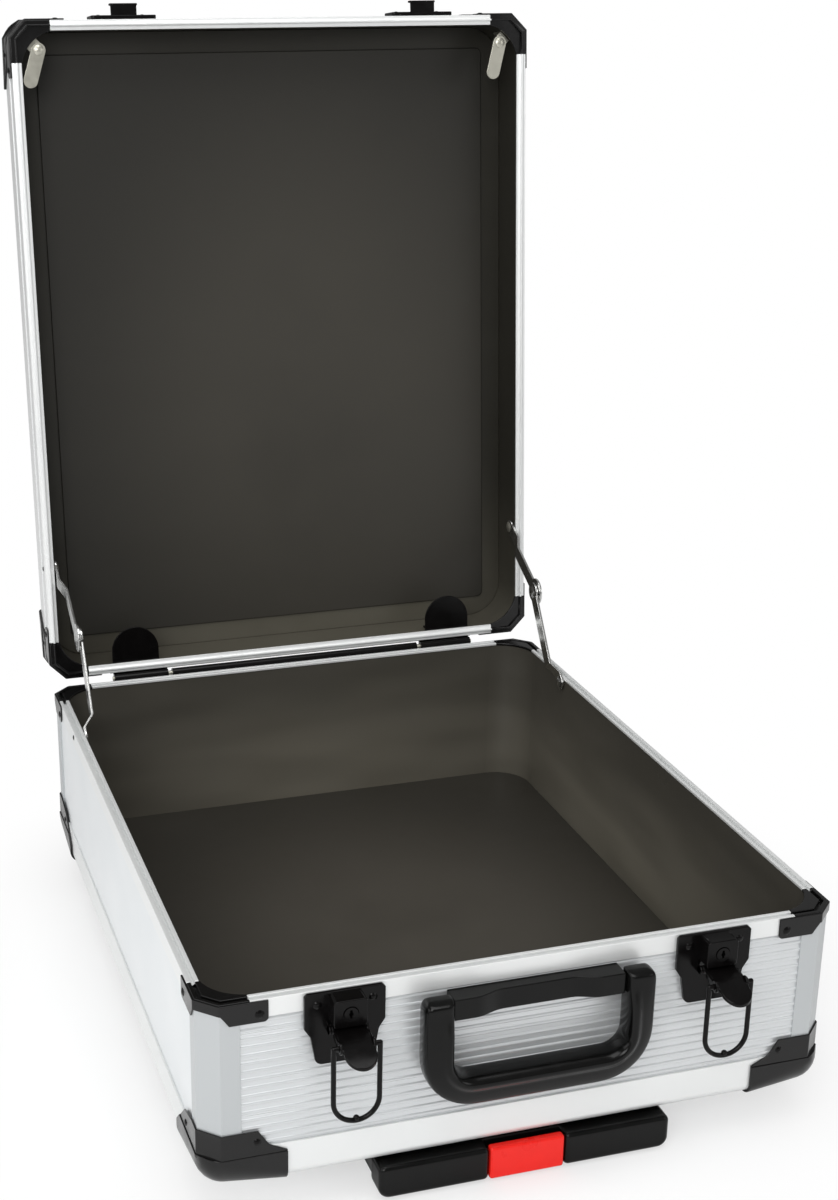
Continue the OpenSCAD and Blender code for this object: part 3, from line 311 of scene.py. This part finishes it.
moulded("spark_grained_black_plastic", "#080808", "#0f0e0e",
        rough=0.2, grain_mm=0.5, strength=0.1, shine=0.36)
moulded("polished_black_plastic", "#060606", "#0b0b0a", rough=0.2, grain_mm=0.9, strength=0.08, shine=0.2)
moulded("glossy_red_plastic", "#ea1d16", "#f4261c", rough=0.3, grain_mm=0.6, strength=0.12, shine=0.3)
moulded("grey_hub_plastic", "#77787a", "#858688", rough=0.5, grain_mm=0.6, strength=0.3, shine=0.5)
moulded("matt_tyre_rubber", "#171716", "#222120", rough=0.75, grain_mm=0.8, strength=0.6, shine=0.3)
print("finishes with the plastics:", len(finishes))

# %% [markdown]
# The latches are pressed steel under satin black paint, smoother than the plastic, with a soft
# highlight along every bend. The stays are nickel plated and the small fittings zinc plated. All three
# could be separate finishes, but they differ only in numbers, so one function makes them.

# %% Painted and plated steel
def plated(name, dark, light, rough, metallic, cloud_mm, shine):
    """Steel under paint or plating, cloudy in patches of cloud_mm."""
    tree, shader, where = start_finish(name)
    cloud = noise(tree, where, cloud_mm, detail=3.0)
    grain = noise(tree, where, size_mm=1.5, detail=2.0)
    fill(
        tree, shader, Metallic=metallic, Specular_IOR_Level=shine,
        Base_Color=blend(tree, cloud, dark, light),
        Roughness=spread(tree, cloud, rough - 0.05, rough + 0.06),
        Normal=bump(tree, grain, strength=0.08, depth_mm=0.03),
    )


plated("satin_black_enamel", "#060505", "#0b0a0a", rough=0.2, metallic=0.0, cloud_mm=8, shine=0.16)
plated("zinc_plated_steel", "#b3b1a5", "#c2c0b4", rough=0.36, metallic=0.9, cloud_mm=4, shine=0.5)
plated("nickel_plated_steel", "#c6c6c4", "#d6d6d4", rough=0.2, metallic=1.0, cloud_mm=6, shine=0.5)
print("finishes:", sorted(finishes))

# %% [markdown]
# Each solid takes its finish by name. The slots could be filled one by one, but a list for each finish
# shows at a glance what is made of what. The strips that run round a tray in several directions start
# with the aluminium whose streaks run across the case, and get their second finish further on.

# %% Dress the solids
dress = {
    "anodised_aluminium_across": ["base_rim", "lid_rim_profiles", "base_edge_profiles", "lid_edge_profiles"],
    "anodised_aluminium_along": ["trolley_outer_tubes", "trolley_middle_tubes", "trolley_inner_tubes"],
    "anodised_corner_post": ["base_corner_posts", "lid_corner_posts"],
    "ribbed_aluminium_sheet": ["front_panel"],
    "foil_faced_board": [
        "bottom_panel", "back_panel", "left_panel", "right_panel", "lid_panel", "lid_wall_panels",
    ],
    "film_faced_wall_lining": ["base_wall_lining"],
    "film_faced_floor_lining": ["floor_lining"],
    "film_faced_lid_lining": ["lid_panel_lining"],
    "film_faced_lid_wall_lining": ["lid_wall_lining"],
    "spark_grained_black_plastic": [
        "base_rim_corners", "base_corner_caps", "lid_rim_corners", "lid_corner_caps",
        "trolley_front_bracket", "trolley_rear_bracket", "wheel_housings", "standing_feet",
    ],
    "polished_black_plastic": ["handle_mount", "handle_grip", "trolley_grip"],
    "glossy_red_plastic": ["release_button"],
    "grey_hub_plastic": ["left_wheel_hub", "right_wheel_hub"],
    "matt_tyre_rubber": ["left_tyre", "right_tyre"],
    "satin_black_enamel": [
        "left_latch_plate", "right_latch_plate", "left_lever", "right_lever", "left_bail", "right_bail",
        "latch_catches", "hinge_base_leaf", "hinge_lid_leaf", "base_rivets", "lid_rivets",
        "left_lock_plug", "right_lock_plug", "board_retainers",
    ],
    "zinc_plated_steel": ["clip_brackets", "left_clip", "right_clip", "hinge_pin", "wheel_axles"],
    "nickel_plated_steel": ["left_stay_lower", "right_stay_lower", "left_stay_upper", "right_stay_upper"],
}
finish_of = {member: name for name, members in dress.items() for member in members}
for member, name in finish_of.items():
    for holder in nodes[member].material_slots:
        holder.material = finishes[name]
print("dressed:", len(finish_of), "left over:", sorted(set(nodes) - set(finish_of)))

# %% [markdown]
# A drawn solid has knife edges, and a moulded or pressed piece never has: its edges are rounded, and
# they catch the light as thin bright lines. A bevel modifier on the solid would be quicker, but it
# also rounds inner corners and can swell a piece. So each new piece is made from its solid's surface,
# only its outward edges are rounded, and what would stick out is pulled back onto that surface.

# %% Rounding sharp edges
WELD_MM = 0.01
FLAT_DEGREES = 0.6


def surface_of(node):
    """A solid's surface as a mesh to edit, joined up and with its flat faces whole."""
    mesh = bmesh.new()
    mesh.from_mesh(nodes[node].data)
    bmesh.ops.remove_doubles(mesh, verts=mesh.verts, dist=WELD_MM * MM)
    bmesh.ops.dissolve_limit(mesh, angle_limit=math.radians(FLAT_DEGREES), verts=mesh.verts, edges=mesh.edges)
    return mesh


def round_edges(mesh, radius_mm, segments=3, sharp=35):
    """Rounds the outward edges that turn by more than sharp degrees, and keeps inside the old surface."""
    solid = BVHTree.FromBMesh(mesh)
    edges = [
        edge for edge in mesh.edges
        if edge.is_convex and edge.is_manifold and edge.calc_face_angle() > math.radians(sharp)
    ]
    bmesh.ops.bevel(mesh, geom=edges, offset=radius_mm * MM, segments=segments, profile=0.5,
                    affect="EDGES", material=-1, clamp_overlap=False)
    for vert in mesh.verts:
        nearest, normal, _, _ = solid.find_nearest(vert.co)
        if (vert.co - nearest).dot(normal) > 0:
            vert.co = nearest
    return len(edges)


# %% [markdown]
# A new piece has to take its solid's place in every way: its finish, its slot, the body that carries it,
# and the node that it stands for. Those lines could follow each piece, but then one is soon forgotten,
# so one function writes all four. It also shades the piece smoothly, except at edges still sharp.

# %% Standing in for a solid
body_of = {node: body for body, members in frame["record"]["behaviour"]["bodies"].items() for node in members}


def stand_in(node, mesh, smooth_angle=40):
    """Makes the mesh a piece that replaces the solid, with its finish, slot and body."""
    data = bpy.data.meshes.new("soft_" + node)
    mesh.to_mesh(data)
    mesh.free()
    piece = bpy.data.objects.new("soft_" + node, data)
    bpy.context.scene.collection.objects.link(piece)
    data.materials.append(finishes[finish_of[node]])
    for face in data.polygons:
        face.use_smooth = True
    data.set_sharp_from_angle(angle=math.radians(smooth_angle))
    even = piece.modifiers.new("even_normals", "WEIGHTED_NORMAL")
    even.keep_sharp = True
    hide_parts(node)
    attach(piece, body_of[node])
    return piece


def soften(node, radius_mm, segments=3, sharp=35):
    """Replaces a solid by a copy with rounded edges."""
    mesh = surface_of(node)
    count = round_edges(mesh, radius_mm, segments, sharp)
    faces = len(mesh.faces)
    stand_in(node, mesh)
    print(f"{node}: {count} edges rounded to {radius_mm} mm, {faces} faces")


# %% [markdown]
# The case's corners are moulded, and its latches, stays and clips are cut and pressed from sheet. One
# radius could serve them all, but it would be lost on a tyre and would eat a clip. So the edges are
# broken by a third to half a millimetre on small hardware and by one on a tyre's shoulder, and thin
# pieces get fewer segments.

# %% Moulded corners and small hardware
for node in ("base_corner_caps", "lid_corner_caps"):
    soften(node, radius_mm=0.35)
soften("lid_rim_corners", radius_mm=0.4)
for side in ("left", "right"):
    soften(side + "_latch_plate", radius_mm=0.5)
    soften(side + "_lever", radius_mm=0.4)
    soften(side + "_stay_lower", radius_mm=0.35, segments=2)
    soften(side + "_stay_upper", radius_mm=0.35, segments=2)
    soften(side + "_clip", radius_mm=0.35, segments=2)
    soften(side + "_tyre", radius_mm=1)
    soften(side + "_wheel_hub", radius_mm=0.4, segments=2)
soften("latch_catches", radius_mm=0.5)
soften("board_retainers", radius_mm=0.35, segments=2)
soften("clip_brackets", radius_mm=0.3, segments=2)

# %% [markdown]
# The rim's strips end where the moulded corners begin, so in the drawing their end faces share a plane.
# On the real case a hair of air lies between them, which the shut lid's rim needs too. The corners could
# be made shorter in the drawing, but there they hold the strips, so only their look gives way here: the
# faces in that plane move outward by a hair.

# %% Rim corners of the base
CORNER_LENGTH_MM = 25
HAIR_MM = 0.06
SAME_PLANE_MM = 0.02
rim_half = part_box("base_rim")[1] / MM
strip_ends = [(axis, rim_half[axis] - CORNER_LENGTH_MM) for axis in (0, 1)]
mesh = surface_of("base_rim_corners")
round_edges(mesh, radius_mm=0.4)
for vert in mesh.verts:
    for axis, end in strip_ends:
        if abs(abs(vert.co[axis]) - end * MM) < SAME_PLANE_MM * MM:
            vert.co[axis] *= 1 + HAIR_MM / end
stand_in("base_rim_corners", mesh)
print("rim corners start", [round(end + HAIR_MM, 2) for _, end in strip_ends], "mm out")

# %% [markdown]
# The bar that the grip hangs from, the pull-out grip with its red button, the trolley's brackets, the
# wheel housings and the feet are thick mouldings, and most have larger radii. The pull-out grip is held
# in the hand and is well rounded. It could be modelled anew, as the carrying grip is further on, but
# its plain bar needs only wide edges with more segments.

# %% Handle bar, trolley and feet
soften("handle_mount", radius_mm=0.6, sharp=30)
soften("trolley_grip", radius_mm=2.8, segments=5)
soften("release_button", radius_mm=1.5, segments=4)
soften("trolley_front_bracket", radius_mm=0.6)
soften("trolley_rear_bracket", radius_mm=0.8)
soften("wheel_housings", radius_mm=0.5)
soften("standing_feet", radius_mm=1.2, segments=4)

# %% [markdown]
# The carrying grip is one soft moulding. It could be cut from a rounded plate, but its section changes
# on the way: flat round the pin, and with a roll where the fingers close. So it is drawn as a section
# that travels round the hand opening: down one side, round the corner, along the bar and up again.

# %% Section of the grip
# Each row is the share of the way across, the depth in mm, and the extra depth of a full roll
SECTION = (
    (0.10, 0.0, 0.0), (0.50, 0.0, 0.0), (0.90, 0.0, 0.0), (0.97, 0.5, 0.0), (1.00, 2.0, 0.0),
    (1.00, 4.6, 0.0), (0.98, 6.2, 0.0), (0.92, 7.4, 0.0), (0.82, 7.9, 0.1), (0.68, 8.0, 0.5),
    (0.55, 8.0, 0.9), (0.46, 8.0, 1.0), (0.39, 8.0, 1.5), (0.31, 8.0, 2.3), (0.21, 8.0, 2.5),
    (0.11, 7.8, 2.1), (0.04, 7.2, 1.1), (0.00, 6.0, 0.0), (0.00, 2.0, 0.0), (0.03, 0.5, 0.0),
)


def grip_section(roll):
    """Points from the opening (0) to the outer edge (1), each with its depth; roll lifts the front."""
    return [(across, depth + lift * roll) for across, depth, lift in SECTION]


deepest = [max(depth for _, depth in grip_section(roll)) for roll in (0, 1)]
print("grip section:", deepest[0], "mm deep, and", deepest[1], "mm with the roll")

# %% [markdown]
# The path is measured in mm from the pin that the grip swings on. Each station on it has a point on the
# hand opening and one on the outer edge. Both edges are straight with round corners, but their radii
# differ, so the grip's width changes on the way. A curve with a bevel object would be shorter to write,
# but it keeps one section. At the eye's top the section also gets thinner, which rounds the end off.

# %% Path of the grip
EYE_STATIONS = (6.6, 6.2, 5.2, 3.0, 0.0, -4.0, -9.0, -14.0, -19.0)
EYE_TOP, EYE_CORNER, EYE_ROUND = 6.7, 4.7, 4.0
ROLL_START, ROLL_LENGTH = -1.0, 11.0
OUTSIDE_LEAD = 1.12
OPENING = {"half": 46.0, "drop": 36.2, "corner": 10.0}
OUTSIDE = {"half": 61.5, "drop": 54.4, "corner": 28.0}
CORNER_STEPS = 8


def on_corner(edge, angle):
    """A point on the lower left corner of one edge of the grip."""
    across, down = edge["half"] - edge["corner"], edge["drop"] - edge["corner"]
    return -across - edge["corner"] * math.cos(angle), -down - edge["corner"] * math.sin(angle)


def on_bar(edge, share):
    """A point on the straight bar below the opening: share is 1 at its left end and 0 at its middle."""
    return -(edge["half"] - edge["corner"]) * share, -edge["drop"]


def grip_path():
    """Stations from the top of one eye to the middle of the bar: inner and outer point, roll, thinning."""
    stations = []
    for z in EYE_STATIONS:
        above = max(z - (EYE_TOP - EYE_CORNER), 0.0)
        outer_x = OUTSIDE["half"] - EYE_CORNER + math.sqrt(EYE_CORNER ** 2 - above ** 2)
        thin = min(1.0, math.sqrt(EYE_TOP ** 2 - z ** 2) / EYE_ROUND) if z > 0 else 1.0
        roll = min(1.0, max(0.0, (ROLL_START - z) / ROLL_LENGTH))
        outer_z = z * OUTSIDE_LEAD if z < 0 else z
        stations.append(((-OPENING["half"], z), (-outer_x, outer_z), roll, thin))
    for step in range(CORNER_STEPS + 1):
        angle = math.radians(90 * step / CORNER_STEPS)
        stations.append((on_corner(OPENING, angle), on_corner(OUTSIDE, angle), 1.0, 1.0))
    for share in (0.7, 0.4, 0.0):
        stations.append((on_bar(OPENING, share), on_bar(OUTSIDE, share), 1.0, 1.0))
    return stations


half_path = grip_path()
print("grip stations on one half:", len(half_path))

# %% [markdown]
# Now the section is set at every station and each ring is bridged to the next. The far half is the near
# one mirrored, which keeps both sides alike. In the photograph the grip is deeper than its solid, so
# the depth is stretched towards the front. More stations would make it smooth, but one level of
# subdivision does that with far fewer points to place.

# %% Carrying grip
BACK_MM = 3.0
DEEPER = 1.43
swing = next(joint for joint in frame["record"]["behaviour"]["joints"] if joint["name"] == "handle_swing")
pin = Vector(swing["pos_m"]) / MM
far_half = [((-i[0], i[1]), (-o[0], o[1]), roll, thin) for i, o, roll, thin in reversed(half_path[:-1])]
mesh = bmesh.new()
rings = []
for inner, outer, roll, thin in half_path + far_half:
    ring = bmesh.ops.create_circle(mesh, segments=len(SECTION), radius=1.0)["verts"]
    for vert, (across, depth) in zip(ring, grip_section(roll)):
        x = inner[0] + (outer[0] - inner[0]) * across
        z = inner[1] + (outer[1] - inner[1]) * across
        vert.co = (pin + Vector((x, (BACK_MM - DEEPER * depth) * thin, z))) * MM
    rings.append([edge for edge in mesh.edges if edge.verts[0] in ring and edge.verts[1] in ring])
for near, far in zip(rings, rings[1:]):
    bmesh.ops.bridge_loops(mesh, edges=near + far)
bmesh.ops.holes_fill(mesh, edges=rings[0] + rings[-1], sides=0)
bmesh.ops.recalc_face_normals(mesh, faces=mesh.faces)
open_edges = sum(not edge.is_manifold for edge in mesh.edges)
grip = stand_in("handle_grip", mesh, smooth_angle=60)
smooth = grip.modifiers.new("smooth_moulding", "SUBSURF")
smooth.levels = smooth.render_levels = 1
print("grip faces:", len(grip.data.polygons), "open edges:", open_edges)

# %% [markdown]
# The floor board lies loose between the walls, with a little room all round that shows as a dark line.
# The line could be painted on, but a real gap looks right from every side. The drawing has the board
# tight, so its copy is scaled in by that room.

# %% Floor board
ROOM_MM = 0.35
board_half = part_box("floor_lining")[1] / MM
mesh = surface_of("floor_lining")
bmesh.ops.scale(mesh, vec=[1 - ROOM_MM / board_half.x, 1 - ROOM_MM / board_half.y, 1], verts=mesh.verts)
round_edges(mesh, radius_mm=0.3, segments=2)
stand_in("floor_lining", mesh)
print("floor board half size:", [round(v - ROOM_MM, 2) for v in board_half[:2]], "mm")

# %% [markdown]
# The lid's board is pressed: its middle stands up from a lower ring, which is covered with the same
# film as the lid's walls. Two boards would need a joint line that isn't there, so it stays one piece.
# The faces that lie below the raised middle are found by their height and get the second finish.

# %% Lid board
STEP_MM = 1.1
mesh = surface_of("lid_panel_lining")
round_edges(mesh, radius_mm=0.8, segments=4)
inward = max(mesh.faces, key=lambda face: face.calc_area() if face.normal.y < 0 else 0).normal.copy()
crest = max(vert.co.dot(inward) for vert in mesh.verts)
for face in mesh.faces:
    if all(vert.co.dot(inward) < crest - STEP_MM * MM for vert in face.verts):
        face.material_index = 1
stand_in("lid_panel_lining", mesh).data.materials.append(finishes["film_faced_lid_wall_lining"])
print("lid board faces", [round(v, 3) for v in inward])

# %% [markdown]
# Two kinds of solid need a second finish. Most rivets are black, but the ones that the stays and the
# turn clips swing on are bright. The strips round both trays turn at each corner, and the streaks of
# drawn metal turn with them. The solids could be split in the drawing, but a copy with two finishes
# does it too: the faces for the second one are picked by where they are.

# %% Second finishes
STAY_RIVETS = ((0, 120, 90), (166, 145, 110))
LID_STAY_AND_CLIP_RIVETS = ((0, 200, 170), (166, 280, 515))
SIDE_STRIPS = ((155, -FAR, -FAR), (FAR, FAR, FAR))
STRIP_EDGE_MM = 0.3


def refinish(node, region, second, radius_mm=0):
    """A solid's copy, its faces with |x|, y and z between the region's mm bounds in the second finish."""
    mesh = surface_of(node)
    if radius_mm:
        round_edges(mesh, radius_mm, segments=2)
    for face in mesh.faces:
        x, y, z = face.calc_center_median() / MM
        if all(low < v < high for low, v, high in zip(region[0], (abs(x), y, z), region[1])):
            face.material_index = 1
    changed = sum(face.material_index for face in mesh.faces)
    stand_in(node, mesh).data.materials.append(finishes[second])
    print(f"{node}: {changed} faces in {second}")


refinish("base_rivets", STAY_RIVETS, "nickel_plated_steel")
refinish("lid_rivets", LID_STAY_AND_CLIP_RIVETS, "zinc_plated_steel")
for node in ("base_rim", "base_edge_profiles"):
    refinish(node, SIDE_STRIPS, "anodised_aluminium_along", STRIP_EDGE_MM)
for node in ("lid_rim_profiles", "lid_edge_profiles"):
    refinish(node, SIDE_STRIPS, "anodised_aluminium_upright", STRIP_EDGE_MM)

# %% [markdown]
# The case stands on a plain pale floor. A white plane alone would turn grey in the picture, and a shadow
# catcher gives a see-through picture that has to be laid over white later. So this floor shows white to
# the camera away from the case, and nearer to it the shadow under the case comes through.

# %% Floor
FLOOR_HALF_M = 6
SHADE_M, WHITE_M = 0.19, 0.35
WHITE_NEAR_CASE = 0.55
floor_mesh = bmesh.new()
bmesh.ops.create_grid(floor_mesh, x_segments=1, y_segments=1, size=FLOOR_HALF_M)
bmesh.ops.translate(floor_mesh, verts=floor_mesh.verts, vec=(0, 0, cad_low.z))
floor_data = bpy.data.meshes.new("pale_floor")
floor_mesh.to_mesh(floor_data)
floor_mesh.free()
floor = bpy.data.objects.new("pale_floor", floor_data)
bpy.context.scene.collection.objects.link(floor)
tree, shader, where = start_finish("pale_floor_paint")
fill(tree, shader, Base_Color=linear("#f4f4f4"), Roughness=0.9, Specular_IOR_Level=0.1)
reach = add(tree, "ShaderNodeVectorMath", {"operation": "LENGTH"}, i0=where)
fade = add(tree, "ShaderNodeMapRange", {"interpolation_type": "SMOOTHSTEP"}, Value=reach.outputs["Value"],
           From_Min=SHADE_M, From_Max=WHITE_M, To_Min=WHITE_NEAR_CASE)
seen = add(tree, "ShaderNodeLightPath").outputs["Is Camera Ray"]
share = add(tree, "ShaderNodeMath", {"operation": "MULTIPLY"}, i0=fade.outputs[0], i1=seen)
glow = add(tree, "ShaderNodeEmission", Color=(1, 1, 1, 1), Strength=1.0)
both = add(tree, "ShaderNodeMixShader", i0=share.outputs[0], i1=shader.outputs[0], i2=glow.outputs[0])
fill(tree, tree.nodes["Material Output"], Surface=both.outputs[0])
floor_data.materials.append(finishes["pale_floor_paint"])
print("floor at z =", round(cad_low.z, 4), "m")

# %% [markdown]
# The photograph looks lit by large soft lights in a white studio. The camera sees the world as pure
# white, while the case gets only a part of it as fill. One white world could light everything, but then
# nothing would have a light and a dark side. So four soft boxes give it form: the strongest overhead,
# one near the camera for the front, and a weak one on each side to open the shadows.

# %% Room light
world = bpy.data.worlds.new("white_room")
bpy.context.scene.world = world
world.use_nodes = True
tree = world.node_tree
tree.nodes.clear()
path = add(tree, "ShaderNodeLightPath")
white = add(tree, "ShaderNodeBackground", Color=(1, 1, 1, 1), Strength=1.0)
dim = add(tree, "ShaderNodeBackground", Color=(1, 1, 1, 1), Strength=0.3)
mixed = add(tree, "ShaderNodeMixShader", i0=path.outputs["Is Camera Ray"], i1=dim.outputs[0],
            i2=white.outputs[0])
add(tree, "ShaderNodeOutputWorld", Surface=mixed.outputs[0])


def soft_light(name, place, aim, size, watts):
    """A rectangular soft box at a place, turned towards its aim."""
    data = bpy.data.lights.new(name, "AREA")
    data.shape = "RECTANGLE"
    data.size, data.size_y = size
    data.energy = watts
    lamp = bpy.data.objects.new(name, data)
    lamp.location = place
    lamp.rotation_euler = (Vector(aim) - Vector(place)).to_track_quat("-Z", "Y").to_euler()
    bpy.context.scene.collection.objects.link(lamp)


soft_light("overhead_softbox", place=(-0.2, -0.5, 2.2), aim=(0, 0.05, 0.1), size=(1.6, 1.6), watts=26)
soft_light("camera_side_softbox", place=(-0.9, -1.5, 1.1), aim=(0, 0.1, 0.12), size=(0.9, 0.9), watts=16)
soft_light("left_softbox", place=(-2.0, -0.3, 0.9), aim=(0, 0, 0.15), size=(1.2, 1.2), watts=9)
soft_light("right_softbox", place=(1.6, -1.6, 0.9), aim=(0, 0, 0.1), size=(1.0, 1.0), watts=6)
